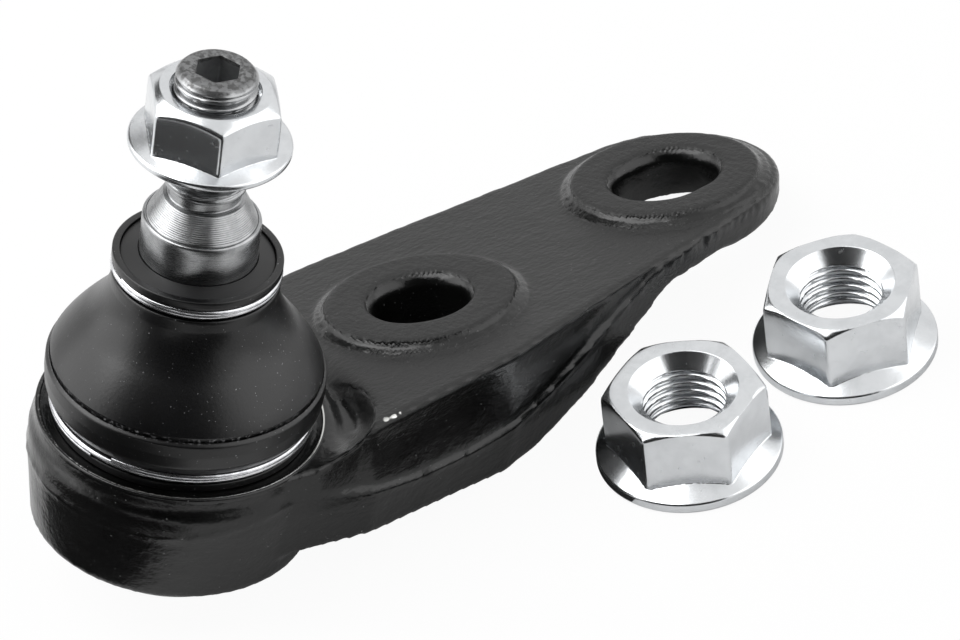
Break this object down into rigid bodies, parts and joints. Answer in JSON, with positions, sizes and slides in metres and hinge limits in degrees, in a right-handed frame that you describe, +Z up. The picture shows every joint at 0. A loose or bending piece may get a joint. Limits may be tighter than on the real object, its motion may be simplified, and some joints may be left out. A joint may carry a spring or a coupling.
{
  "type": "suspension ball joint",
  "caption": "Ball joint in a forged eye with a bolt-on arm, rubber dust boot with wire clamps, threaded stud with flange nut, and loose flange nuts beside it.",
  "frame": {"origin": "on the bench, under the centre of the kit's bounding box", "axes": "+Z up from the bench, +X along the arm from the ball towards the far bolt hole, seen from above"},
  "size_m": [0.136, 0.0798, 0.0856],
  "materials": {
    "arm_paint": "satin black over forged steel",
    "stud_steel": "turned, bare",
    "seat_plastic": "natural acetal",
    "cover_steel": "pressed, phosphated",
    "boot_rubber": "moulded chloroprene",
    "insert_plastic": "moulded",
    "clamp_wire": "bright zinc wire",
    "nut_zinc": "bright zinc plate"
  },
  "bodies": {
    "housing": {"forged_housing_arm": "arm_paint", "ball_seat": "seat_plastic", "pressed_cover": "cover_steel", "boot_lower_clamp": "clamp_wire"},
    "boot": {"dust_boot": "boot_rubber"},
    "boot_collar": {"boot_collar_insert": "insert_plastic", "boot_upper_clamp": "clamp_wire"},
    "stud": {"ball_stud": "stud_steel"},
    "nut_on_stud": {"stud_nut": "nut_zinc"},
    "near_nut": {"loose_nut_near": "nut_zinc"},
    "far_nut": {"loose_nut_far": "nut_zinc"}
  },
  "joints": [
    {"name": "rock_across_arm", "type": "hinge", "parent": "housing", "child": "boot", "pos_m": [-0.04532, 0.01506, 0.01951], "axis": [0.9785, 0, -0.2064], "range_deg": [-16, 16], "deforming": ["dust_boot"]},
    {"name": "rock_along_arm", "type": "hinge", "parent": "boot", "child": "boot_collar", "pos_m": [-0.04532, 0.01506, 0.01951], "axis": [0.0187, 0.9959, 0.0884], "range_deg": [-16, 16], "deforming": ["dust_boot"]},
    {"name": "stud_swivel", "type": "hinge", "parent": "boot_collar", "child": "stud", "pos_m": [-0.04532, 0.01506, 0.01951], "axis": [0.2055, -0.0904, 0.9745], "continuous": true},
    {"name": "stud_nut_turn", "type": "hinge", "parent": "stud", "child": "nut_on_stud", "pos_m": [-0.03428, 0.0102, 0.07184], "axis": [0.2055, -0.0904, 0.9745], "continuous": true},
    {"name": "near_nut_lift", "type": "slide", "parent": "housing", "child": "near_nut", "axis": [0, 0, 1], "range_m": [0, 0.04]},
    {"name": "far_nut_lift", "type": "slide", "parent": "housing", "child": "far_nut", "axis": [0, 0, 1], "range_m": [0, 0.04]}
  ]
}
